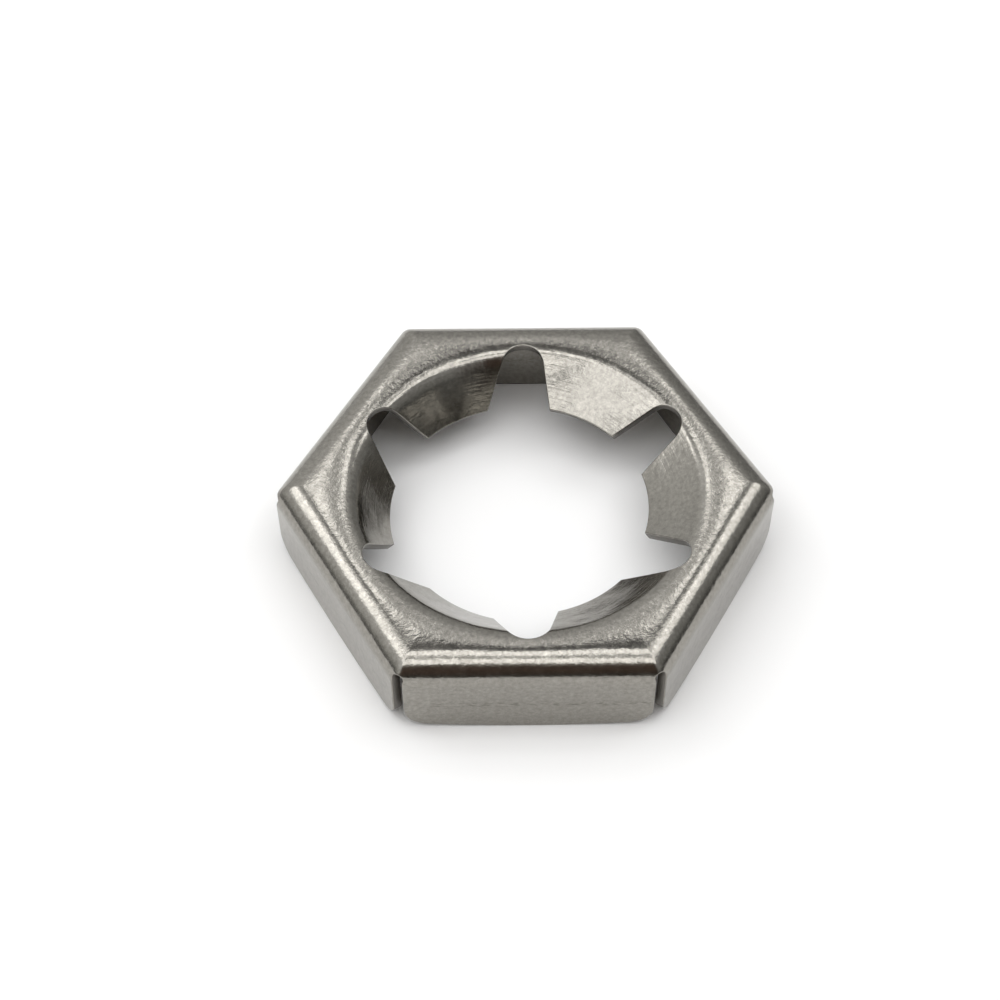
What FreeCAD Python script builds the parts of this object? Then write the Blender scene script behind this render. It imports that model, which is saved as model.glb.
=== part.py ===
import FreeCAD, Part
import math
import os

# Stamped lock nut, pressed and folded from one piece of spring sheet: a hexagonal cap, open below,
# with six side flanges and a central hole. The hole's rim rolls down as six spring tongues, parted
# by U-ended slots. Each tongue is bent to its own angle, so the free edges climb round the hole
# with the bolt's thread.
#
# Millimetres and degrees. The origin is the centre of the hole in the plane that the nut stands on.
# +Z points out of the closed face, the corners of the hexagon lie on +X and -X.

SIDES = 6
SIDE_ANGLE = 360.0 / SIDES
Z_AXIS = FreeCAD.Vector(0, 0, 1)
CENTRE = FreeCAD.Vector(0, 0, 0)

# The cap and its sheet
across_flats = 30.0
cap_height = 6.8
sheet_thickness = 0.65
edge_inner_radius = 1.2
corner_outer_radius = 0.8

# The tongues: the bend starts on a circle, and the length runs along the middle of the sheet
bend_start_radius = 12.6
tongue_inner_radius = 0.85
tongue_length = 4.58
tongue_tip_width = 5.0

# How far each tongue is bent down, counter-clockwise from the one that points at the +X corner.
# The steepest one is third, and from there the angle falls from tongue to tongue.
tongue_angles = (32.0, 29.0, 61.0, 54.0, 48.0, 40.0)

# The slots between the tongues
slot_end_radius = 12.4
slot_width = 2.93

# The flanges, with a slit at each corner of the hexagon
slit_width = 0.8
slit_end_radius = 0.42
slit_top_height = 5.9
flange_corner_radius = 1.6
flange_bow = 0.5

# Room that a cutting body has beyond what it cuts
overrun = 1.0


def polar(radius, angle, height=0.0):
    """A point at a radius and an angle about the nut's axis."""
    turn = math.radians(angle)
    return FreeCAD.Vector(radius * math.cos(turn), radius * math.sin(turn), height)


def turned(shape, angle):
    """The shape turned about the nut's axis."""
    shape.rotate(CENTRE, Z_AXIS, angle)
    return shape


def hexagon_block(flats, bottom, top, edge_radius, corner_radius):
    """A hexagonal prism with a rounded top edge. Its upright corners are sharp where their radius is 0."""
    corner_distance = flats / 2 / math.cos(math.radians(SIDE_ANGLE / 2))
    corners = [polar(corner_distance, SIDE_ANGLE * k, bottom) for k in range(SIDES)]
    outline = Part.makePolygon(corners + corners[:1])
    prism = Part.Face(outline).extrude(Z_AXIS * (top - bottom))

    document = FreeCAD.newDocument()
    block = document.addObject("Part::Feature", "Block")
    block.Shape = prism
    rounding = document.addObject("Part::Fillet", "Rounding")
    rounding.Base = block
    radii = []
    for number, edge in enumerate(prism.Edges, start=1):
        box = edge.BoundBox
        if box.ZMin > (top + bottom) / 2:
            radii.append((number, edge_radius, edge_radius))
        elif box.ZMax > (top + bottom) / 2 and corner_radius > 0:
            radii.append((number, corner_radius, corner_radius))
    rounding.Edges = radii
    document.recompute()
    rounded = rounding.Shape.copy()
    FreeCAD.closeDocument(document.Name)
    return rounded


def cap():
    """The pressed cap: top plate and skirt of even thickness, with a round hole where the bends start."""
    outside = hexagon_block(across_flats, 0.0, cap_height,
                            edge_inner_radius + sheet_thickness, corner_outer_radius)
    inside = hexagon_block(across_flats - 2 * sheet_thickness, -overrun,
                           cap_height - sheet_thickness, edge_inner_radius, 0.0)
    hole = Part.makeCylinder(bend_start_radius, cap_height + overrun)
    return outside.cut(inside).cut(hole)


def leaf_length(angle):
    """The straight length of a tongue, beyond its bend."""
    return tongue_length - (tongue_inner_radius + sheet_thickness / 2) * math.radians(angle)


def tip_radius(angle):
    """The radius of a tongue's free edge, on the upper side of the sheet."""
    bend = math.radians(angle)
    outer_radius = tongue_inner_radius + sheet_thickness
    return bend_start_radius - outer_radius * math.sin(bend) - leaf_length(angle) * math.cos(bend)


def tongue_profile(angle):
    """The section of one tongue in the XZ plane: the bend, then a straight leaf with a square end."""
    bend = math.radians(angle)
    outer_radius = tongue_inner_radius + sheet_thickness
    bend_centre = FreeCAD.Vector(bend_start_radius, 0, cap_height - outer_radius)

    def on_bend(radius, turn):
        return bend_centre + FreeCAD.Vector(-math.sin(turn), 0, math.cos(turn)) * radius

    along = FreeCAD.Vector(-math.cos(bend), 0, -math.sin(bend)) * leaf_length(angle)
    upper_start = on_bend(outer_radius, 0)
    upper_bent = on_bend(outer_radius, bend)
    upper_tip = upper_bent + along
    lower_start = on_bend(tongue_inner_radius, 0)
    lower_bent = on_bend(tongue_inner_radius, bend)
    lower_tip = lower_bent + along
    edges = [
        Part.Arc(upper_start, on_bend(outer_radius, bend / 2), upper_bent).toShape(),
        Part.makeLine(upper_bent, upper_tip),
        Part.makeLine(upper_tip, lower_tip),
        Part.makeLine(lower_tip, lower_bent),
        Part.Arc(lower_bent, on_bend(tongue_inner_radius, bend / 2), lower_start).toShape(),
        Part.makeLine(lower_start, upper_start),
    ]
    return Part.Face(Part.Wire(edges))


def tongue_sector(number):
    """One sixth of the rolled rim, from the middle of one slot to the middle of the next."""
    profile = turned(tongue_profile(tongue_angles[number]), SIDE_ANGLE * (number - 0.5))
    return profile.revolve(CENTRE, Z_AXIS, SIDE_ANGLE)


def slot_cutter(number):
    """The slot between a tongue and the next one: a round end, and sides that run to the tips' corners."""
    end_radius = slot_width / 2
    end_centre = FreeCAD.Vector(slot_end_radius - end_radius, 0, 0)
    mouth = []
    for neighbour, side in ((number, -1), ((number + 1) % SIDES, 1)):
        radius = tip_radius(tongue_angles[neighbour])
        corner_angle = math.degrees(math.asin(tongue_tip_width / 2 / radius))
        tip = polar(radius, side * (SIDE_ANGLE / 2 - corner_angle))
        reach = tip - end_centre
        swing = math.acos(end_radius / reach.Length)
        heading = math.atan2(reach.y, reach.x) - side * swing
        tangent = end_centre + FreeCAD.Vector(math.cos(heading), math.sin(heading), 0) * end_radius
        beyond = tip + (tip - tangent).normalize() * overrun
        mouth.append((tangent, beyond))
    (first_tangent, first_beyond), (second_tangent, second_beyond) = mouth
    edges = [
        Part.makeLine(CENTRE, first_beyond),
        Part.makeLine(first_beyond, first_tangent),
        Part.Arc(first_tangent, FreeCAD.Vector(slot_end_radius, 0, 0), second_tangent).toShape(),
        Part.makeLine(second_tangent, second_beyond),
        Part.makeLine(second_beyond, CENTRE),
    ]
    cutter = Part.Face(Part.Wire(edges)).extrude(Z_AXIS * (cap_height + overrun))
    return turned(cutter, SIDE_ANGLE * (number + 0.5))


def flange_outline():
    """One flange as cut from the sheet, drawn upright in the plane X = 0 with its free edge below.

    The free edge is gently bowed and its corners are round.
    """
    half_angle = math.radians(SIDE_ANGLE / 2)
    half_width = across_flats / 2 * math.tan(half_angle) - slit_width / 2 / math.cos(half_angle)
    side_top = slit_top_height - slit_end_radius
    bow_radius = (half_width ** 2 + flange_bow ** 2) / (2 * flange_bow)
    corner_y = half_width - flange_corner_radius
    corner_z = bow_radius - math.sqrt((bow_radius - flange_corner_radius) ** 2 - corner_y ** 2)
    bow_turn = math.asin(corner_y / (bow_radius - flange_corner_radius))
    foot_y = bow_radius * math.sin(bow_turn)
    foot_z = bow_radius * (1 - math.cos(bow_turn))
    middle_turn = (math.pi / 2 - bow_turn) / 2
    round_y = corner_y + flange_corner_radius * math.cos(middle_turn)
    round_z = corner_z - flange_corner_radius * math.sin(middle_turn)

    def at(y, z):
        return FreeCAD.Vector(0, y, z)

    edges = [Part.Arc(at(-foot_y, foot_z), at(0, 0), at(foot_y, foot_z)).toShape()]
    for side in (1, -1):
        edges += [
            Part.Arc(at(side * foot_y, foot_z), at(side * round_y, round_z),
                     at(side * half_width, corner_z)).toShape(),
            Part.makeLine(at(side * half_width, corner_z), at(side * half_width, side_top)),
        ]
    edges.append(Part.makeLine(at(-half_width, side_top), at(half_width, side_top)))
    return Part.Face(Part.Wire(Part.__sortEdges__(edges)))


def flange_cutter(number):
    """What is sheared off one side of the skirt, up to the middle of the slits at its two corners."""
    half_angle = math.radians(SIDE_ANGLE / 2)
    near = across_flats / 2 - sheet_thickness - edge_inner_radius
    far = across_flats / 2 + overrun
    corners = [
        FreeCAD.Vector(near, -near * math.tan(half_angle), -overrun),
        FreeCAD.Vector(far, -far * math.tan(half_angle), -overrun),
        FreeCAD.Vector(far, far * math.tan(half_angle), -overrun),
        FreeCAD.Vector(near, near * math.tan(half_angle), -overrun),
    ]
    height = overrun + slit_top_height - slit_end_radius
    room = Part.Face(Part.makePolygon(corners + corners[:1])).extrude(Z_AXIS * height)
    kept = flange_outline().extrude(FreeCAD.Vector(far + overrun, 0, 0))
    return turned(room.cut(kept), SIDE_ANGLE * (number + 0.5))


def slit_end(number):
    """The round hole that a slit ends in, a little wider than the slit."""
    start = FreeCAD.Vector(bend_start_radius, 0, slit_top_height - slit_end_radius)
    hole = Part.makeCylinder(slit_end_radius, across_flats, start, FreeCAD.Vector(1, 0, 0))
    return turned(hole, SIDE_ANGLE * number)


def lock_nut():
    """The whole nut as one solid."""
    nut = cap().fuse([tongue_sector(k) for k in range(SIDES)])
    nut = nut.cut([slot_cutter(k) for k in range(SIDES)])
    nut = nut.cut([flange_cutter(k) for k in range(SIDES)])
    nut = nut.cut([slit_end(k) for k in range(SIDES)])
    return nut.removeSplitter()


os.makedirs("parts", exist_ok=True)
nut = lock_nut()
if len(nut.Solids) != 1 or not nut.isValid():
    raise RuntimeError("the nut isn't one valid solid")
nut.Solids[0].exportStep("parts/lock_nut.step")
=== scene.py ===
import math

import bmesh
import bpy
from mathutils import Matrix, Vector


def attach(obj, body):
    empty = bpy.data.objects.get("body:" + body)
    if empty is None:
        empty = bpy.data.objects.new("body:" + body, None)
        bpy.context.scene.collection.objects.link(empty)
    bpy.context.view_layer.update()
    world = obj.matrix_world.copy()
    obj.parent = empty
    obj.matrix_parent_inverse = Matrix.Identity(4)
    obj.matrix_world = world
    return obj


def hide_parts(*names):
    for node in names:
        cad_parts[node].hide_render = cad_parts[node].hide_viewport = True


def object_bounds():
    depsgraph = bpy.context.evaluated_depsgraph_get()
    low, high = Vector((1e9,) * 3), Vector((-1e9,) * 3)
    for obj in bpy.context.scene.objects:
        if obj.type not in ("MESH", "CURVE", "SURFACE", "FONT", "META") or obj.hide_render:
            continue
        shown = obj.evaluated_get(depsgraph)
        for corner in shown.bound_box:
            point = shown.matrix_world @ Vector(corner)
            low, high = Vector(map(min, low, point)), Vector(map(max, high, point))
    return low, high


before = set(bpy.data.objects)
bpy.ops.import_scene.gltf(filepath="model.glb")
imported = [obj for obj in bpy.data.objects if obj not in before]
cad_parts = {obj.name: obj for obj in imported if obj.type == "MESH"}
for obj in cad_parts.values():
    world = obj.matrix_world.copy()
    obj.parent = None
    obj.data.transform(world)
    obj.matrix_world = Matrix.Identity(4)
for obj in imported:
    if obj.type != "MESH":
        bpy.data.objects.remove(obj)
cad_low, cad_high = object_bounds()

bl_info = {
    "name": "Stamped lock nut",
    "version": (1, 0, 0),
    "blender": (4, 5, 0),
    "location": "View3D > Sidebar > Lock nut",
    "description": "Makes a lock nut pressed from one sheet, with its finish, floor, lamps and camera",
    "category": "Object",
}

MM = 0.001
SIDES = 6
SIDE_ANGLE = math.tau / SIDES
HALF_ANGLE = SIDE_ANGLE / 2

# How finely the sheet is divided. A half sector runs from the middle of a tongue, which is also the
# hexagon's corner, to the middle of the next slot, which is also the middle of a flange.
COLUMNS = 28
CROWDING = 1.45
FLANGE_ROWS = 9
FOOT_ROWS = 3
SLIT_END_ROWS = 8
EDGE_ROWS = 12
FLAT_ROWS = 3
SLOT_END_ROWS = 22
LEAF_ROWS = 8
ROUND_STEPS = 3

# Which of the piece's materials the sheared faces have
SHEARED = 1

# Points closer than this are one point
MERGE_DISTANCE = 0.0005 * MM


class NutSizes(bpy.types.PropertyGroup):
    """The nut's sizes, as the real one would be measured."""

    across_flats: bpy.props.FloatProperty(
        name="Across flats", description="Distance between opposite flanges, outside",
        default=cad_high.y - cad_low.y, unit="LENGTH", precision=5)
    cap_height: bpy.props.FloatProperty(
        name="Height", description="From the flanges' free edges to the closed face",
        default=cad_high.z - cad_low.z, unit="LENGTH", precision=5)
    sheet_thickness: bpy.props.FloatProperty(
        name="Sheet thickness", description="Thickness of the spring sheet",
        default=0.65 * MM, unit="LENGTH", precision=5)
    edge_inner_radius: bpy.props.FloatProperty(
        name="Edge bend radius", description="Inside radius of the bend between the face and a flange",
        default=1.2 * MM, unit="LENGTH", precision=5)
    corner_radius: bpy.props.FloatProperty(
        name="Corner radius", description="Outside radius of the hexagon's corners, at the flanges",
        default=0.8 * MM, unit="LENGTH", precision=5)
    bend_start_radius: bpy.props.FloatProperty(
        name="Bend start radius", description="Radius of the circle on which the tongues start to bend",
        default=12.6 * MM, unit="LENGTH", precision=5)
    tongue_inner_radius: bpy.props.FloatProperty(
        name="Tongue bend radius", description="Inside radius of the tongues' bend",
        default=0.85 * MM, unit="LENGTH", precision=5)
    tongue_length: bpy.props.FloatProperty(
        name="Tongue length", description="Length of a tongue along the middle of the sheet",
        default=4.58 * MM, unit="LENGTH", precision=5)
    tongue_tip_width: bpy.props.FloatProperty(
        name="Tip width", description="Width of a tongue's free edge, corner to corner",
        default=5.0 * MM, unit="LENGTH", precision=5)
    tongue_angles: bpy.props.FloatVectorProperty(
        name="Tongue angles", description="How far each tongue is bent down, from the +X corner on",
        default=[math.radians(a) for a in (32, 29, 61, 54, 48, 40)], size=SIDES, subtype="EULER",
        unit="ROTATION")
    slot_end_radius: bpy.props.FloatProperty(
        name="Slot reach", description="Distance from the nut's axis to the round end of a slot",
        default=12.4 * MM, unit="LENGTH", precision=5)
    slot_width: bpy.props.FloatProperty(
        name="Slot width", description="Width of a slot at its round end",
        default=2.93 * MM, unit="LENGTH", precision=5)
    slit_width: bpy.props.FloatProperty(
        name="Slit width", description="Width of the slit between two flanges, outside",
        default=0.8 * MM, unit="LENGTH", precision=5)
    slit_end_radius: bpy.props.FloatProperty(
        name="Slit end radius", description="Radius of the small hole that a slit ends in",
        default=0.42 * MM, unit="LENGTH", precision=5)
    slit_top_height: bpy.props.FloatProperty(
        name="Slit height", description="Height of a slit's upper end",
        default=5.9 * MM, unit="LENGTH", precision=5)
    flange_corner_radius: bpy.props.FloatProperty(
        name="Flange corner radius", description="Radius of a flange's lower corners",
        default=1.6 * MM, unit="LENGTH", precision=5)
    flange_bow: bpy.props.FloatProperty(
        name="Flange bow", description="How far the middle of a flange's free edge stands below its ends",
        default=0.5 * MM, unit="LENGTH", precision=5)
    die_roll: bpy.props.FloatProperty(
        name="Die roll", description="Radius that shearing leaves along the upper edge of a cut",
        default=0.07 * MM, unit="LENGTH", precision=5)
    dish_depth: bpy.props.FloatProperty(
        name="Dish depth", description="How far the face sinks before the tongues' bend starts",
        default=0.11 * MM, unit="LENGTH", precision=5)
    dish_outer_radius: bpy.props.FloatProperty(
        name="Dish radius", description="Radius at which the face starts to sink",
        default=14.1 * MM, unit="LENGTH", precision=5)
    dish_inner_radius: bpy.props.FloatProperty(
        name="Dish end radius", description="Radius at which the tongues' bend has taken over",
        default=12.0 * MM, unit="LENGTH", precision=5)
    crown_depth: bpy.props.FloatProperty(
        name="Crown depth", description="How far the face sinks before the flanges' bend starts",
        default=0.075 * MM, unit="LENGTH", precision=5)
    crown_inner_apothem: bpy.props.FloatProperty(
        name="Crown start", description="Distance from the axis at which the face starts to sink outwards",
        default=12.3 * MM, unit="LENGTH", precision=5)
    crown_outer_apothem: bpy.props.FloatProperty(
        name="Crown end", description="Distance from the axis at which the flanges' bend has taken over",
        default=13.9 * MM, unit="LENGTH", precision=5)
    burr_round: bpy.props.FloatProperty(
        name="Burr rounding", description="Radius that tumbling leaves along the lower edge of a cut",
        default=0.03 * MM, unit="LENGTH", precision=5)
    margin: bpy.props.FloatProperty(
        name="Edge margin", description="Flat strip kept beside a rounded cut edge",
        default=0.02 * MM, unit="LENGTH", precision=5)


def polar(radius, angle):
    """A level point at a radius and an angle about the nut's axis."""
    return Vector((radius * math.cos(angle), radius * math.sin(angle), 0))


def crowded(column):
    """How far along a skirt row a column stands: the columns crowd towards the hexagon's corner."""
    return (column / COLUMNS) ** CROWDING


def steps(start, stop, count):
    """The values from start to stop in even steps, without start itself."""
    return [start + (stop - start) * k / count for k in range(1, count + 1)]


class Skirt:
    """The outside of the cap, from a flange's free edge to the flat face, for one half sector.

    The half sector starts at the corner on +X. A point is given by the height and the bend angle of
    its row, and by its distance along the row from the plane of the corner.
    """

    def __init__(self, sizes):
        self.inset = sizes.die_roll + sizes.margin
        self.top = sizes.cap_height
        self.edge_radius = sizes.edge_inner_radius + sizes.sheet_thickness
        self.flat_apothem = sizes.across_flats / 2 - self.edge_radius
        self.bend_height = sizes.cap_height - self.edge_radius
        self.corner_radius = sizes.corner_radius
        self.slit_half = sizes.slit_width / 2 / math.cos(HALF_ANGLE)
        self.hole_radius = sizes.slit_end_radius + self.inset
        self.hole_height = sizes.slit_top_height - sizes.slit_end_radius
        self.sizes = sizes

    def row_length(self, bend):
        """The length of the row's corner arc, and of its straight stretch up to the flange's middle."""
        round_off = self.corner_radius * math.cos(bend)
        apothem = self.flat_apothem + self.edge_radius * math.cos(bend)
        return round_off * HALF_ANGLE, (apothem - round_off) * math.tan(HALF_ANGLE)

    def point(self, height, bend, along):
        """The point at a distance along the row at that height and bend angle."""
        round_off = self.corner_radius * math.cos(bend)
        apothem = self.flat_apothem + self.edge_radius * math.cos(bend)
        arc, straight = self.row_length(bend)
        if along < arc:
            centre = Vector(((apothem - round_off) / math.cos(HALF_ANGLE), 0, 0))
            place = centre + polar(round_off, along / round_off)
        else:
            sideways = straight - (along - arc)
            place = polar(apothem, HALF_ANGLE) + polar(sideways, HALF_ANGLE - math.pi / 2)
        return place + Vector((0, 0, height))

    def along_at(self, bend, offset):
        """How far along a row the point lies that is offset from the plane of the corner."""
        round_off = self.corner_radius * math.cos(bend)
        apothem = self.flat_apothem + self.edge_radius * math.cos(bend)
        arc, straight = self.row_length(bend)
        if offset <= round_off * math.sin(HALF_ANGLE):
            return round_off * math.asin(offset / round_off)
        sideways = (apothem * math.sin(HALF_ANGLE) - offset) / math.cos(HALF_ANGLE)
        return arc + straight - sideways

    def flange_foot(self):
        """The flange's free edge from the middle of its round corner to its middle, as (along, height)."""
        arc, straight = self.row_length(0)
        half_width = self.sizes.across_flats / 2 * math.tan(HALF_ANGLE) - self.slit_half
        bow = self.sizes.flange_bow
        bow_radius = (half_width ** 2 + bow ** 2) / (2 * bow)
        corner = self.sizes.flange_corner_radius
        corner_y = half_width - corner
        corner_z = bow_radius - math.sqrt((bow_radius - corner) ** 2 - corner_y ** 2)
        bow_turn = math.asin(corner_y / (bow_radius - corner))
        corner_turn = math.pi / 2 - bow_turn
        corner -= self.inset
        bow_inside = bow_radius - self.inset
        split = corner_turn / 2

        def on_corner(turn):
            return corner_y + corner * math.cos(turn), corner_z - corner * math.sin(turn)

        round_length = corner * split
        length = round_length + bow_inside * bow_turn
        foot = []
        for column in range(COLUMNS + 1):
            distance = length * crowded(column)
            if distance < round_length:
                sideways, height = on_corner(split + distance / corner)
            else:
                turn = (length - distance) / bow_inside
                sideways = bow_inside * math.sin(turn)
                height = bow_radius - bow_inside * math.cos(turn)
            foot.append((arc + straight - sideways, height))
        side = [on_corner(turn) for turn in steps(split, 0, FOOT_ROWS)]
        side = [(arc + straight - sideways, height) for sideways, height in side]
        start, low = side[-1]
        straight_rows = FLANGE_ROWS - FOOT_ROWS
        side += [(start, height) for height in steps(low, self.bend_height, straight_rows)]
        return foot, [foot[0]] + side

    def rows(self):
        """All rows of points, from the flange's free edge up to the circle where the tongues start."""
        foot, side = self.flange_foot()
        arc, straight = self.row_length(0)
        reach = arc + straight
        start = side[-1][0]
        rows = []
        for row, (side_along, side_height) in enumerate(side):
            up = row / FLANGE_ROWS
            middle_height = foot[-1][1] + (self.bend_height - foot[-1][1]) * up
            line = []
            for column in range(COLUMNS + 1):
                over = crowded(column)
                low_along, low_height = foot[column]
                high_along = start + (reach - start) * over
                along = ((1 - up) * low_along + up * high_along
                         + (1 - over) * side_along + over * reach
                         - (1 - up) * ((1 - over) * foot[0][0] + over * reach)
                         - up * ((1 - over) * start + over * reach))
                height = ((1 - up) * low_height + up * self.bend_height
                          + (1 - over) * side_height + over * middle_height
                          - (1 - up) * ((1 - over) * foot[0][1] + over * foot[-1][1])
                          - up * self.bend_height)
                line.append(self.point(height, 0, along))
            rows.append(line)

        slit_offset = self.sizes.slit_width / 2 + self.inset * math.cos(HALF_ANGLE)
        join = math.acos(slit_offset / self.hole_radius)
        join_bend = self.bend_at(self.hole_height - self.hole_radius * math.sin(join))
        levels = [(bend, self.along_at(bend, slit_offset)) for bend in steps(0, join_bend, FOOT_ROWS)]
        for turn in steps(-join, math.pi / 2, SLIT_END_ROWS):
            bend = self.bend_at(self.hole_height + self.hole_radius * math.sin(turn))
            levels.append((bend, self.along_at(bend, max(0.0, self.hole_radius * math.cos(turn)))))
        levels += [(bend, 0.0) for bend in steps(levels[-1][0], math.pi / 2, EDGE_ROWS)]
        for bend, begin in levels:
            height = self.bend_height + self.edge_radius * math.sin(bend)
            reach = sum(self.row_length(bend))
            rows.append([self.point(height, bend, begin + (reach - begin) * crowded(column))
                         for column in range(COLUMNS + 1)])

        border = rows[-1]
        up = Vector((0, 0, self.top))
        circle = [polar(self.sizes.bend_start_radius, HALF_ANGLE * column / COLUMNS) + up
                  for column in range(COLUMNS + 1)]
        for share in steps(0, 1, FLAT_ROWS):
            rows.append([outer.lerp(inner, share) for outer, inner in zip(border, circle)])
        return rows

    def bend_at(self, height):
        """The bend angle at a height above the start of the edge's bend."""
        return math.asin((height - self.bend_height) / self.edge_radius)


def tongue_rows(sizes, angle):
    """The rows of one half tongue, from the slot's round end to the free edge."""
    inset = sizes.die_roll + sizes.margin
    bend_radius = sizes.tongue_inner_radius + sizes.sheet_thickness
    leaf = sizes.tongue_length - (sizes.tongue_inner_radius + sizes.sheet_thickness / 2) * angle
    bend_reach = bend_radius * math.sin(angle)
    tip_radius = sizes.bend_start_radius - bend_reach - leaf * math.cos(angle)

    def height(radius):
        inward = sizes.bend_start_radius - radius
        if inward < bend_reach:
            return sizes.cap_height - bend_radius + math.sqrt(bend_radius ** 2 - inward ** 2)
        drop = bend_radius * (1 - math.cos(angle))
        return sizes.cap_height - drop - (inward - bend_reach) * math.tan(angle)

    end_radius = sizes.slot_width / 2
    end_centre = Vector((sizes.slot_end_radius - end_radius, 0, 0))
    tip = polar(tip_radius, HALF_ANGLE - math.asin(sizes.tongue_tip_width / 2 / tip_radius))
    reach = tip - end_centre
    tangent = math.atan2(reach.y, reach.x) - math.acos(end_radius / reach.length)
    side_start = end_centre + polar(end_radius, tangent)
    along = (tip - side_start).normalized()
    side_start += polar(inset, tangent)
    tip_circle = tip_radius + inset * math.cos(angle)
    across = side_start.dot(along)
    side_length = -across - math.sqrt(across ** 2 - side_start.length_squared + tip_circle ** 2)

    border = [end_centre + polar(end_radius + inset, turn)
              for turn in [0.0] + steps(0, tangent, SLOT_END_ROWS)]
    border += [side_start + along * distance for distance in steps(0, side_length, LEAF_ROWS)]
    rows = []
    for edge in border:
        radius = edge.length
        turn = HALF_ANGLE - math.atan2(edge.y, edge.x)
        up = Vector((0, 0, height(radius)))
        rows.append([polar(radius, turn * column / COLUMNS) + up for column in range(COLUMNS + 1)])
    return rows


def add_half_sector(bm, rows, number, mirrored):
    """Lays a grid on the rows of points, at the hexagon's corner with that number."""
    grid = bmesh.ops.create_grid(bm, x_segments=COLUMNS, y_segments=len(rows) - 1, size=0.5)
    verts = grid["verts"]
    for vert in verts:
        column = round((vert.co.x + 0.5) * COLUMNS)
        row = round((vert.co.y + 0.5) * (len(rows) - 1))
        vert.co = rows[row][column]
    faces = {face for vert in verts for face in vert.link_faces}
    if mirrored:
        bmesh.ops.scale(bm, vec=(1, -1, 1), verts=verts)
        bmesh.ops.reverse_faces(bm, faces=list(faces))
    turn = Matrix.Rotation(number * SIDE_ANGLE, 3, "Z")
    bmesh.ops.rotate(bm, cent=(0, 0, 0), matrix=turn, verts=verts)


def soft_step(share):
    """Rises from 0 to 1, slowly at first and steepest after two thirds of the way."""
    share = min(1.0, max(0.0, share))
    return share ** 3 * (4 - 3 * share)


def settle(bm, sizes):
    """Sinks the face a little towards the tongues and the flanges, as pressing leaves it.

    So neither bend starts with a hard line.
    """
    sides = [polar(1.0, HALF_ANGLE + number * SIDE_ANGLE) for number in range(SIDES)]
    dish_width = sizes.dish_outer_radius - sizes.dish_inner_radius
    crown_width = sizes.crown_outer_apothem - sizes.crown_inner_apothem
    edge_radius = sizes.edge_inner_radius + sizes.sheet_thickness
    bend_height = sizes.cap_height - edge_radius
    for vert in bm.verts:
        inward = sizes.dish_outer_radius - vert.co.xy.length
        outward = max(side.dot(vert.co) for side in sides) - sizes.crown_inner_apothem
        rise = min(1.0, max(0.0, (vert.co.z - bend_height) / edge_radius))
        vert.co.z -= sizes.dish_depth * soft_step(inward / dish_width)
        vert.co.z -= sizes.crown_depth * rise * rise * soft_step(outward / crown_width)


def outward_at(vert):
    """The direction that leads off the sheet at a vertex on its border, along the surface.

    It is lengthened at a corner of the border, so that both edges move out equally far.
    """
    sides = []
    for edge in vert.link_edges:
        if edge.is_boundary:
            face = edge.link_faces[0]
            side = (edge.verts[1].co - edge.verts[0].co).cross(face.normal).normalized()
            middle = (edge.verts[0].co + edge.verts[1].co) / 2
            if side.dot(middle - face.calc_center_median()) < 0:
                side.negate()
            sides.append(side)
    total = sides[0] + sides[1]
    return total * 2 / total.length_squared


def cut_profile(sizes):
    """The section of a cut edge, as steps out from the border and down through the sheet's thickness."""
    roll, burr = sizes.die_roll, sizes.burr_round
    full = sizes.margin + roll
    turns = steps(0, math.pi / 2, ROUND_STEPS)
    profile = [(sizes.margin, 0.0)]
    profile += [(sizes.margin + roll * math.sin(turn), roll * (1 - math.cos(turn))) for turn in turns]
    profile.append((full, sizes.sheet_thickness - burr))
    profile += [(full - burr * (1 - math.cos(turn)), sizes.sheet_thickness - burr * (1 - math.sin(turn)))
                for turn in turns]
    profile.append((0.0, sizes.sheet_thickness))
    return [(out, down / sizes.sheet_thickness) for out, down in profile]


def thicken(bm, sizes):
    """Gives the sheet its thickness, and rounds the edges that shearing left all round it."""
    bm.normal_update()
    start = bm.verts.layers.float_vector.new("start")
    outward = bm.verts.layers.float_vector.new("outward")
    downward = bm.verts.layers.float_vector.new("downward")
    border = [edge for edge in bm.edges if edge.is_boundary]
    for vert in bm.verts:
        vert[start] = vert.co
        vert[downward] = -vert.normal * vert.calc_shell_factor() * sizes.sheet_thickness
        if vert.is_boundary:
            vert[outward] = outward_at(vert)

    sheet = list(bm.verts) + list(bm.edges) + list(bm.faces)
    lower = bmesh.ops.duplicate(bm, geom=sheet)["geom"]
    for item in lower:
        if isinstance(item, bmesh.types.BMVert):
            item.co += item[downward]
    bmesh.ops.reverse_faces(bm, faces=[item for item in lower if isinstance(item, bmesh.types.BMFace)])

    ring = border
    for number, (out, down) in enumerate(cut_profile(sizes)):
        on_wall = number == ROUND_STEPS + 1
        raised = bmesh.ops.extrude_edge_only(bm, edges=ring)["geom"]
        ring = [item for item in raised if isinstance(item, bmesh.types.BMEdge)]
        for item in raised:
            if isinstance(item, bmesh.types.BMVert):
                item.co = item[start] + item[outward] * out + item[downward] * down
            elif isinstance(item, bmesh.types.BMFace) and on_wall:
                item.material_index = SHEARED
    bmesh.ops.remove_doubles(bm, verts=bm.verts, dist=MERGE_DISTANCE)
    bmesh.ops.recalc_face_normals(bm, faces=bm.faces)


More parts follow.
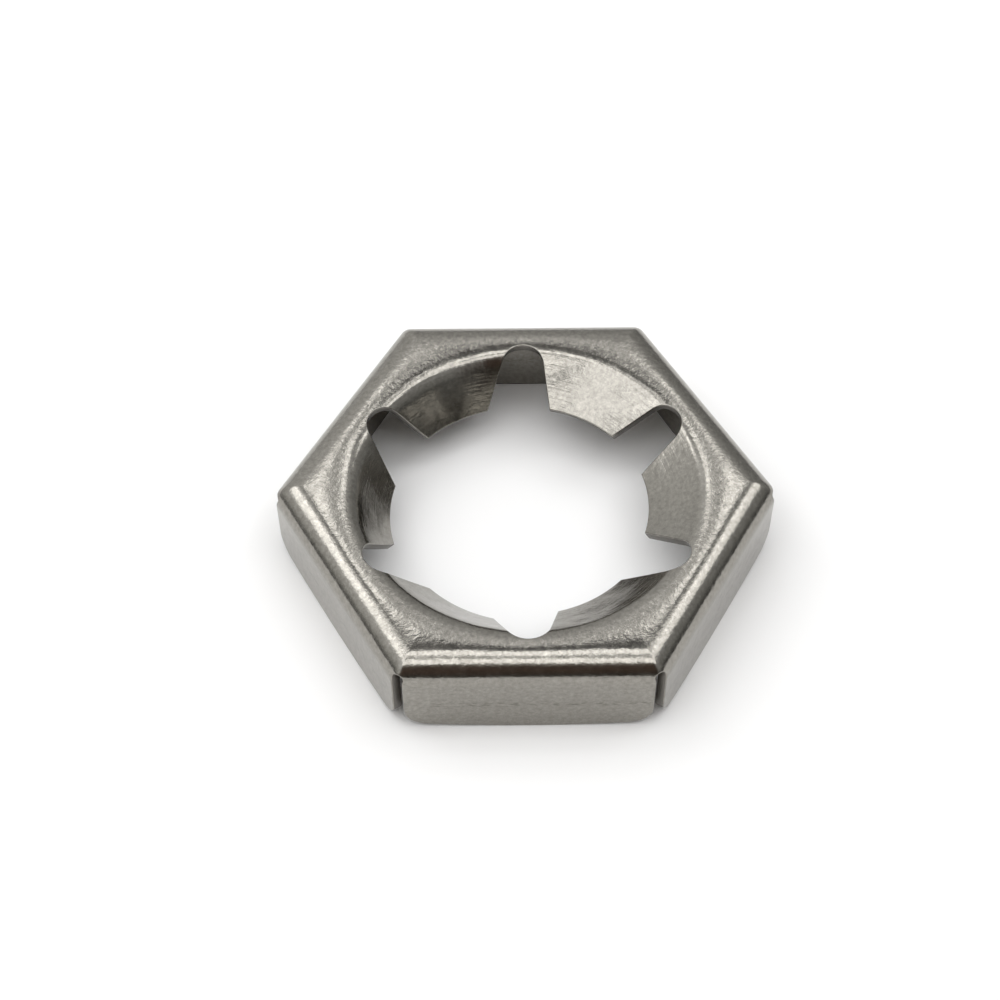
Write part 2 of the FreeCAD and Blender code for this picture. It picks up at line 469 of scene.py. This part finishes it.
def make_sheet(sizes):
    """The mesh of the whole nut: twelve half sectors, joined and given their thickness."""
    bm = bmesh.new()
    skirt = Skirt(sizes).rows()
    for number, angle in enumerate(sizes.tongue_angles):
        rows = skirt + tongue_rows(sizes, angle)
        for mirrored in (False, True):
            add_half_sector(bm, rows, number, mirrored)
    bmesh.ops.remove_doubles(bm, verts=bm.verts, dist=MERGE_DISTANCE)
    settle(bm, sizes)
    thicken(bm, sizes)
    for face in bm.faces:
        face.smooth = True
    mesh = bpy.data.meshes.new("stamped_sheet")
    bm.to_mesh(mesh)
    bm.free()
    return mesh


class NutFinish(bpy.types.PropertyGroup):
    """The colours and the gloss of the nut's surfaces."""

    steel_pits: bpy.props.StringProperty(
        name="Steel, pits", description="Colour of the sheet at the bottom of the grain, as sRGB hex",
        default="#827F79")
    steel_peaks: bpy.props.StringProperty(
        name="Steel, peaks", description="Colour of the sheet at the top of the grain, as sRGB hex",
        default="#A19E97")
    draw_marks: bpy.props.StringProperty(
        name="Draw marks", description="Colour of the scuffs that the die leaves on a flange, as sRGB hex",
        default="#6B6861")
    sheared_steel: bpy.props.StringProperty(
        name="Sheared steel", description="Colour of the cut edges, as sRGB hex",
        default="#716E69")
    roughness: bpy.props.FloatProperty(
        name="Roughness", description="Roughness of the tumbled sheet",
        default=0.155, min=0, max=1, subtype="FACTOR")
    grain_size: bpy.props.FloatProperty(
        name="Grain size", description="Spacing of the dimples that tumbling leaves, drawn coarse",
        default=0.28 * MM, unit="LENGTH", precision=5)
    grain_depth: bpy.props.FloatProperty(
        name="Grain depth", description="Depth of the tumbled grain",
        default=0.011 * MM, unit="LENGTH", precision=6)
    wave_size: bpy.props.FloatProperty(
        name="Wave size", description="Spacing of the shallow waves that pressing leaves in the sheet",
        default=2.2 * MM, unit="LENGTH", precision=5)
    wave_depth: bpy.props.FloatProperty(
        name="Wave depth", description="Depth of those waves",
        default=0.016 * MM, unit="LENGTH", precision=6)


class StageLook(bpy.types.PropertyGroup):
    """The floor, the lamps and the camera."""

    floor: bpy.props.StringProperty(
        name="Floor", description="Colour of the floor, as sRGB hex", default="#FAFAFA")
    view_azimuth: bpy.props.FloatProperty(
        name="View azimuth", description="Direction of view about the upright axis, 0 along +Y",
        default=math.radians(-0.276), unit="ROTATION")
    view_elevation: bpy.props.FloatProperty(
        name="View elevation", description="Height of the camera above the horizon",
        default=math.radians(53.66), unit="ROTATION")
    view_roll: bpy.props.FloatProperty(
        name="View roll", description="Turn of the camera about its line of sight",
        default=math.radians(0.263), unit="ROTATION")
    view_distance: bpy.props.FloatProperty(
        name="View distance", description="Distance of the camera from the nut's origin",
        default=144.9 * MM, unit="LENGTH", precision=5)
    view_right: bpy.props.FloatProperty(
        name="View right", description="How far the nut's origin lies right of the line of sight",
        default=1.757 * MM, unit="LENGTH", precision=5)
    view_down: bpy.props.FloatProperty(
        name="View down", description="How far the nut's origin lies below the line of sight",
        default=2.885 * MM, unit="LENGTH", precision=5)
    lamp_height: bpy.props.FloatProperty(
        name="Lamp height", description="Height of the overhead softboxes",
        default=500 * MM, unit="LENGTH")
    overhead_glow: bpy.props.FloatProperty(
        name="Overhead glow", description="Brightness of the overhead softboxes, where 1 is white",
        default=2.27, min=0)
    back_glow: bpy.props.FloatProperty(
        name="Back glow", description="Brightness of the softboxes behind the nut, where 1 is white",
        default=2.7, min=0)
    side_glow: bpy.props.FloatProperty(
        name="Side glow", description="Brightness of the side softboxes, where 1 is white",
        default=2.0, min=0)
    tent_glow: bpy.props.FloatProperty(
        name="Tent glow", description="Brightness of a white patch of the tent, where 1 is white",
        default=2.0, min=0)
    tent_radius: bpy.props.FloatProperty(
        name="Tent radius", description="Radius of the tent round the floor",
        default=900 * MM, unit="LENGTH")
    lens: bpy.props.FloatProperty(
        name="Lens", description="Focal length of the camera, in millimetres on a 36 mm sensor",
        default=73.79, unit="CAMERA")


def linear(code):
    """A hex colour as linear red, green, blue and alpha."""
    channels = [int(code[k:k + 2], 16) / 255 for k in (1, 3, 5)]
    return [c / 12.92 if c <= 0.04045 else ((c + 0.055) / 1.055) ** 2.4 for c in channels] + [1.0]


def add_node(tree, kind, inputs=None, **settings):
    """Adds a node. Its inputs are set to values, or linked where they are sockets."""
    node = tree.nodes.new(kind)
    for name, value in settings.items():
        setattr(node, name, value)
    for name, value in (inputs or {}).items():
        socket = node.inputs[name]
        if isinstance(value, bpy.types.NodeSocket):
            tree.links.new(value, socket)
        else:
            socket.default_value = value
    return node


def new_material(name):
    """An empty node material, and its tree."""
    material = bpy.data.materials.new(name)
    material.use_nodes = True
    material.node_tree.nodes.clear()
    return material, material.node_tree


# Distances from the nut's axis between which the face's finish passes into the tongues', and into
# the flanges'
TONGUE_FINISH = (12.5 * MM, 11.9 * MM)
FLANGE_FINISH = (13.2 * MM, 14.6 * MM)

# Rolling a tongue leaves fine marks along its bend, and makes its waves deeper. The run is how fast a
# mark changes along its length, beside how fast it changes across.
STREAK_WIDTH = 0.18 * MM
STREAK_RUN = 0.08
STREAK_SHARE = 0.75
TONGUE_WAVES = 4.5

# Tumbling leaves duller patches, and darker and paler specks
PATCH_SIZE = 0.6 * MM
PATCH_DULLER = 0.07
PATCH_GLOSSIER = 0.05
SPECK_SIZE = 0.32 * MM

# The die scuffs a flange in short level dashes, most of them along one line round the nut
SCUFF_LENGTH = 0.45 * MM
SCUFF_WIDTH = 0.16 * MM
SCUFF_HEIGHT = 2.75 * MM
SCUFF_BAND = (0.35 * MM, 0.05 * MM)
SCUFF_SHARE = (0.12, 0.8)

# The part of its range from which each noise draws its pattern
PATCH_RANGE = (0.3, 0.7)
SPECK_RANGE = (0.25, 0.75)
DASH_RANGE = (0.48, 0.66)


def tumbled_sheet_material(finish):
    """Cold-rolled stainless spring sheet, tumbled after pressing.

    It gives the eye a satin metal whose bright lines break up into fine grain. The real grain is
    about 0.1 mm, too fine to show, so it is drawn as coarse as it needs to show.
    """
    material, tree = new_material("tumbled_stainless_sheet")
    place = add_node(tree, "ShaderNodeTexCoord").outputs["Object"]
    level = add_node(tree, "ShaderNodeVectorMath", {0: place, 1: (1, 1, 0)}, operation="MULTIPLY")
    radius = add_node(tree, "ShaderNodeVectorMath", {0: level.outputs["Vector"]}, operation="LENGTH")
    tongue = add_node(tree, "ShaderNodeMapRange", {
        "Value": radius.outputs["Value"], "From Min": TONGUE_FINISH[0], "From Max": TONGUE_FINISH[1]},
        interpolation_type="SMOOTHSTEP")

    grain = add_node(tree, "ShaderNodeTexNoise", {
        "Vector": place, "Scale": 1 / finish.grain_size, "Detail": 2.0, "Roughness": 0.7})
    wave = add_node(tree, "ShaderNodeTexNoise", {
        "Vector": place, "Scale": 1 / finish.wave_size, "Detail": 1.0, "Roughness": 0.5})
    waves = finish.wave_depth / finish.grain_depth
    wave_share = add_node(tree, "ShaderNodeMapRange", {
        "Value": tongue.outputs["Result"], "To Min": waves, "To Max": TONGUE_WAVES * waves})
    height = add_node(tree, "ShaderNodeMath", {
        0: wave.outputs["Fac"], 1: wave_share.outputs["Result"], 2: grain.outputs["Fac"]},
        operation="MULTIPLY_ADD")

    axes = add_node(tree, "ShaderNodeSeparateXYZ", {"Vector": place})
    ring_place = add_node(tree, "ShaderNodeCombineXYZ", {
        "X": radius.outputs["Value"], "Y": axes.outputs["Z"]})
    sideways = add_node(tree, "ShaderNodeVectorMath", {
        0: place, 1: (STREAK_RUN, STREAK_RUN, 0), 2: ring_place.outputs["Vector"]},
        operation="MULTIPLY_ADD")
    streak = add_node(tree, "ShaderNodeTexNoise", {
        "Vector": sideways.outputs["Vector"], "Scale": 1 / STREAK_WIDTH, "Detail": 2.0})
    streak_share = add_node(tree, "ShaderNodeMath", {
        0: tongue.outputs["Result"], 1: STREAK_SHARE}, operation="MULTIPLY")
    height = add_node(tree, "ShaderNodeMath", {
        0: streak.outputs["Fac"], 1: streak_share.outputs["Value"], 2: height.outputs["Value"]},
        operation="MULTIPLY_ADD")
    bump = add_node(tree, "ShaderNodeBump", {
        "Height": height.outputs["Value"], "Strength": 1.0, "Distance": finish.grain_depth})

    patch = add_node(tree, "ShaderNodeTexNoise", {
        "Vector": place, "Scale": 1 / PATCH_SIZE, "Detail": 4.0, "Roughness": 0.65})
    roughness = add_node(tree, "ShaderNodeMapRange", {
        "Value": patch.outputs["Fac"], "From Min": PATCH_RANGE[0], "From Max": PATCH_RANGE[1],
        "To Min": finish.roughness - PATCH_GLOSSIER, "To Max": finish.roughness + PATCH_DULLER})
    speck = add_node(tree, "ShaderNodeTexNoise", {
        "Vector": place, "Scale": 1 / SPECK_SIZE, "Detail": 3.0, "Roughness": 0.75})
    tarnish = add_node(tree, "ShaderNodeMapRange", {
        "Value": speck.outputs["Fac"], "From Min": SPECK_RANGE[0], "From Max": SPECK_RANGE[1]})
    colour = add_node(tree, "ShaderNodeMix", {
        "Factor": tarnish.outputs["Result"], 6: linear(finish.steel_pits),
        7: linear(finish.steel_peaks)}, data_type="RGBA")

    dash_place = add_node(tree, "ShaderNodeVectorMath", {
        0: place, 1: (1 / SCUFF_LENGTH, 1 / SCUFF_LENGTH, 1 / SCUFF_WIDTH)}, operation="MULTIPLY")
    dash = add_node(tree, "ShaderNodeTexNoise", {
        "Vector": dash_place.outputs["Vector"], "Scale": 1.0, "Detail": 2.0})
    dashes = add_node(tree, "ShaderNodeMapRange", {
        "Value": dash.outputs["Fac"], "From Min": DASH_RANGE[0], "From Max": DASH_RANGE[1]})
    flange = add_node(tree, "ShaderNodeMapRange", {
        "Value": radius.outputs["Value"], "From Min": FLANGE_FINISH[0], "From Max": FLANGE_FINISH[1]})
    off_line = add_node(tree, "ShaderNodeMath", {
        0: axes.outputs["Z"], 1: SCUFF_HEIGHT}, operation="SUBTRACT")
    distance = add_node(tree, "ShaderNodeMath", {0: off_line.outputs["Value"]}, operation="ABSOLUTE")
    band = add_node(tree, "ShaderNodeMapRange", {
        "Value": distance.outputs["Value"], "From Min": SCUFF_BAND[0], "From Max": SCUFF_BAND[1],
        "To Min": SCUFF_SHARE[0], "To Max": SCUFF_SHARE[1]}, interpolation_type="SMOOTHSTEP")
    on_flange = add_node(tree, "ShaderNodeMath", {
        0: band.outputs["Result"], 1: flange.outputs["Result"]}, operation="MULTIPLY")
    scuffs = add_node(tree, "ShaderNodeMath", {
        0: on_flange.outputs["Value"], 1: dashes.outputs["Result"]}, operation="MULTIPLY")
    colour = add_node(tree, "ShaderNodeMix", {
        "Factor": scuffs.outputs["Value"], 6: colour.outputs[2], 7: linear(finish.draw_marks)},
        data_type="RGBA")
    shader = add_node(tree, "ShaderNodeBsdfPrincipled", {
        "Base Color": colour.outputs[2], "Metallic": 1.0, "Roughness": roughness.outputs["Result"],
        "Normal": bump.outputs["Normal"]})
    add_node(tree, "ShaderNodeOutputMaterial", {"Surface": shader.outputs["BSDF"]})
    return material


# The torn grain of a cut edge
TEAR_SIZE = 0.1 * MM
TEAR_DEPTH = 0.01 * MM


def sheared_edge_material(finish):
    """Stainless sheet as sheared in the press.

    It gives the eye a torn wall, duller and darker than the rolled faces.
    """
    material, tree = new_material("sheared_stainless_edge")
    place = add_node(tree, "ShaderNodeTexCoord").outputs["Object"]
    grain = add_node(tree, "ShaderNodeTexNoise", {
        "Vector": place, "Scale": 1 / TEAR_SIZE, "Detail": 2.0})
    bump = add_node(tree, "ShaderNodeBump", {
        "Height": grain.outputs["Fac"], "Strength": 0.4, "Distance": TEAR_DEPTH})
    shader = add_node(tree, "ShaderNodeBsdfPrincipled", {
        "Base Color": linear(finish.sheared_steel), "Metallic": 1.0, "Roughness": 0.4,
        "Normal": bump.outputs["Normal"]})
    add_node(tree, "ShaderNodeOutputMaterial", {"Surface": shader.outputs["BSDF"]})
    return material


def floor_material(look):
    """White sweep of uncoated paper. It gives the eye a matt white with soft shadows."""
    material, tree = new_material("white_paper")
    shader = add_node(tree, "ShaderNodeBsdfPrincipled", {
        "Base Color": linear(look.floor), "Roughness": 0.9, "Specular IOR Level": 0.1})
    add_node(tree, "ShaderNodeOutputMaterial", {"Surface": shader.outputs["BSDF"]})
    return material


def add_object(name, data):
    """Puts an object with that data into the scene, at the origin."""
    piece = bpy.data.objects.new(name, data)
    bpy.context.scene.collection.objects.link(piece)
    return piece


class LOCKNUT_OT_sheet(bpy.types.Operator):
    """Makes the stamped nut in the place of its plain solid"""

    bl_idname = "locknut.sheet"
    bl_label = "Stamped nut"

    def execute(self, context):
        mesh = make_sheet(context.scene.nut_sizes)
        mesh.materials.append(tumbled_sheet_material(context.scene.nut_finish))
        mesh.materials.append(sheared_edge_material(context.scene.nut_finish))
        piece = add_object("stamped_nut", mesh)
        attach(piece, "root")
        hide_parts("lock_nut")
        return {"FINISHED"}


class LOCKNUT_OT_stage(bpy.types.Operator):
    """Makes the floor, the lamps, the world and the camera"""

    bl_idname = "locknut.stage"
    bl_label = "Floor, lamps and camera"

    def execute(self, context):
        look = context.scene.stage_look
        make_floor(look)
        make_lamps(look)
        make_tent(look)
        make_world()
        make_camera(look)
        context.scene.view_settings.view_transform = "Standard"
        return {"FINISHED"}


# The tent's cloth behind the nut, beside it and in front of it, as (sine of the elevation, colour)
BACK_WALL = ((0.0, "#8C8C8C"), (0.35, "#989897"), (0.52, "#A0A09F"), (0.66, "#ABABAB"),
             (0.78, "#BEBEBE"), (0.86, "#505050"), (0.94, "#5C5C5C"), (1.0, "#A0A09F"))
SIDE_WALL = ((0.0, "#3C3C3B"), (0.17, "#6C6C6A"), (0.35, "#949492"), (0.52, "#9E9E9D"),
             (0.66, "#B0B0B0"), (0.79, "#B0B0B0"), (0.86, "#505050"), (0.94, "#5C5C5C"),
             (1.0, "#A0A09F"))
FRONT_WALL = ((0.0, "#3A3A36"), (0.2, "#3D3833"), (0.45, "#483C35"), (0.72, "#4A3F38"),
              (0.80, "#706A64"), (1.0, "#A0A09F"))

# Between which values of a heading's share along +Y the front wall passes into the side walls, and
# those into the back wall
FRONT_TO_SIDE = (-0.95, -0.75)
SIDE_TO_BACK = (0.0, 0.4)

# The tent glows more on the left than on the right, between these shares of a direction along +X
GLOW_SPAN = (-0.5, 0.5)
GLOW_SHARES = (1.3, 0.6)

# The floor's radius in metres
FLOOR_RADIUS = 0.2

# The level softboxes overhead, as (name, x, y, width, depth) in metres. A gap between the middle one
# and the front one draws the thin line along the bend of the front flange.
LEVEL_SOFTBOXES = (
    ("front_softbox", 0.01, -0.215, 0.58, 0.19),
    ("middle_softbox", 0.01, 0.025, 0.76, 0.15),
    ("front_left_wing", -0.23, -0.085, 0.18, 0.07),
    ("front_right_wing", 0.23, -0.085, 0.18, 0.07),
    ("left_wing", -0.22, 0.175, 0.26, 0.065),
    ("right_wing", 0.22, 0.175, 0.26, 0.065),
)

# The softboxes that face the nut, as (name, place, width, depth, the glow they have) in metres
TILTED_SOFTBOXES = (
    ("back_left_softbox", (-0.09, 0.3965, 0.5769), 0.13, 0.098, "back_glow"),
    ("back_right_softbox", (0.11, 0.3965, 0.5769), 0.13, 0.098, "back_glow"),
    ("left_softbox", (-0.354, 0.173, 0.433), 0.20, 0.14, "side_glow"),
    ("right_softbox", (0.354, 0.173, 0.433), 0.20, 0.14, "side_glow"),
)


def make_floor(look):
    """A round floor that the nut stands on."""
    bm = bmesh.new()
    bmesh.ops.create_circle(bm, cap_ends=True, segments=64, radius=FLOOR_RADIUS)
    mesh = bpy.data.meshes.new("floor")
    bm.to_mesh(mesh)
    bm.free()
    mesh.materials.append(floor_material(look))
    floor = add_object("floor", mesh)


def add_softbox(name, place, width, depth, glow):
    """A softbox that faces straight down. The metal mirrors it, and the camera doesn't see it."""
    lamp = bpy.data.lights.new(name, "AREA")
    lamp.shape = "RECTANGLE"
    lamp.size = width
    lamp.size_y = depth
    lamp.energy = glow * math.pi * width * depth
    softbox = add_object(name, lamp)
    softbox.visible_camera = False
    softbox.location = place
    return softbox


def make_lamps(look):
    """The softboxes overhead, and those behind the nut and beside it."""
    for name, x, y, width, depth in LEVEL_SOFTBOXES:
        add_softbox(name, (x, y, look.lamp_height), width, depth, look.overhead_glow)
    for name, place, width, depth, glow in TILTED_SOFTBOXES:
        softbox = add_softbox(name, place, width, depth, getattr(look, glow))
        softbox.rotation_euler = (-Vector(place)).to_track_quat("-Z", "Y").to_euler()


def wall_colour(tree, height, wall):
    """The colour of one wall of the tent by height, which is the sine of the elevation."""
    ramp = add_node(tree, "ShaderNodeValToRGB", {"Fac": height})
    while len(ramp.color_ramp.elements) < len(wall):
        ramp.color_ramp.elements.new(0.5)
    for element, (position, code) in zip(ramp.color_ramp.elements, wall):
        element.position = position
        element.color = linear(code)
    return ramp.outputs["Color"]


def tent_material(look):
    """Diffusion cloth lit from outside, as the metal mirrors it.

    It is dark in front and near the horizon, and paler behind and above.
    """
    material, tree = new_material("tent_cloth")
    place = add_node(tree, "ShaderNodeTexCoord").outputs["Object"]
    way = add_node(tree, "ShaderNodeVectorMath", {"Vector": place}, operation="NORMALIZE")
    axes = add_node(tree, "ShaderNodeSeparateXYZ", {"Vector": way.outputs["Vector"]})
    front, side, back = [wall_colour(tree, axes.outputs["Z"], wall)
                         for wall in (FRONT_WALL, SIDE_WALL, BACK_WALL)]
    level = add_node(tree, "ShaderNodeVectorMath", {0: place, 1: (1, 1, 0)}, operation="MULTIPLY")
    heading = add_node(tree, "ShaderNodeVectorMath", {
        "Vector": level.outputs["Vector"]}, operation="NORMALIZE")
    share = add_node(tree, "ShaderNodeSeparateXYZ", {"Vector": heading.outputs["Vector"]})
    cloth = front
    for wall, (begin, end) in ((side, FRONT_TO_SIDE), (back, SIDE_TO_BACK)):
        factor = add_node(tree, "ShaderNodeMapRange", {
            "Value": share.outputs["Y"], "From Min": begin, "From Max": end},
            interpolation_type="SMOOTHSTEP")
        cloth = add_node(tree, "ShaderNodeMix", {
            "Factor": factor.outputs["Result"], 6: cloth, 7: wall}, data_type="RGBA").outputs[2]
    glow = add_node(tree, "ShaderNodeMapRange", {
        "Value": axes.outputs["X"], "From Min": GLOW_SPAN[0], "From Max": GLOW_SPAN[1],
        "To Min": GLOW_SHARES[0] * look.tent_glow, "To Max": GLOW_SHARES[1] * look.tent_glow})
    shader = add_node(tree, "ShaderNodeEmission", {
        "Color": cloth, "Strength": glow.outputs["Result"]})
    add_node(tree, "ShaderNodeOutputMaterial", {"Surface": shader.outputs["Emission"]})
    return material


def make_tent(look):
    """A dim tent round the floor. The metal mirrors it, and the camera sees the world through it."""
    bm = bmesh.new()
    bmesh.ops.create_uvsphere(bm, u_segments=48, v_segments=24, radius=look.tent_radius)
    mesh = bpy.data.meshes.new("tent")
    bm.to_mesh(mesh)
    bm.free()
    mesh.materials.append(tent_material(look))
    tent = add_object("tent", mesh)
    tent.visible_camera = False


def make_world():
    """A white room outside the tent."""
    world = bpy.data.worlds.new("white_room")
    world.use_nodes = True
    tree = world.node_tree
    tree.nodes.clear()
    shader = add_node(tree, "ShaderNodeBackground", {"Color": (1, 1, 1, 1), "Strength": 1.0})
    add_node(tree, "ShaderNodeOutputWorld", {"Surface": shader.outputs["Background"]})
    bpy.context.scene.world = world


# The camera's sensor in millimetres, and what it leaves out near and far, in metres
SENSOR_WIDTH = 36
NEAR_CLIP = 0.01
FAR_CLIP = 10


def make_camera(look):
    """The camera at the photo's place."""
    azimuth, elevation = look.view_azimuth, look.view_elevation
    back = Vector((math.sin(azimuth) * math.cos(elevation), -math.cos(azimuth) * math.cos(elevation),
                   math.sin(elevation)))
    right = Vector((0, 0, 1)).cross(back).normalized()
    up = back.cross(right)
    roll = Matrix.Rotation(-look.view_roll, 3, back)
    right, up = roll @ right, roll @ up
    camera = add_object("camera", bpy.data.cameras.new("camera"))
    camera.data.lens = look.lens
    camera.data.sensor_width = SENSOR_WIDTH
    camera.data.clip_start = NEAR_CLIP
    camera.data.clip_end = FAR_CLIP
    place = back * look.view_distance - right * look.view_right + up * look.view_down
    camera.matrix_world = Matrix.Translation(place) @ Matrix((right, up, back)).transposed().to_4x4()
    bpy.context.scene.camera = camera


class LOCKNUT_PT_panel(bpy.types.Panel):
    """Lists the steps that make the nut and its stage"""

    bl_label = "Lock nut"
    bl_space_type = "VIEW_3D"
    bl_region_type = "UI"
    bl_category = "Lock nut"

    def draw(self, context):
        layout = self.layout
        for group in ("nut_sizes", "nut_finish", "stage_look"):
            settings = getattr(context.scene, group)
            box = layout.box()
            for name in settings.bl_rna.properties.keys():
                if name not in ("rna_type", "name"):
                    box.prop(settings, name)
        layout.operator(LOCKNUT_OT_sheet.bl_idname)
        layout.operator(LOCKNUT_OT_stage.bl_idname)


CLASSES = (NutSizes, NutFinish, StageLook, LOCKNUT_OT_sheet, LOCKNUT_OT_stage, LOCKNUT_PT_panel)


def register():
    for item in CLASSES:
        bpy.utils.register_class(item)
    bpy.types.Scene.nut_sizes = bpy.props.PointerProperty(type=NutSizes)
    bpy.types.Scene.nut_finish = bpy.props.PointerProperty(type=NutFinish)
    bpy.types.Scene.stage_look = bpy.props.PointerProperty(type=StageLook)


def unregister():
    del bpy.types.Scene.stage_look
    del bpy.types.Scene.nut_finish
    del bpy.types.Scene.nut_sizes
    for item in reversed(CLASSES):
        bpy.utils.unregister_class(item)


def main():
    """Makes the nut and its stage."""
    register()
    bpy.ops.locknut.sheet()
    bpy.ops.locknut.stage()


if __name__ == "__main__":
    main()
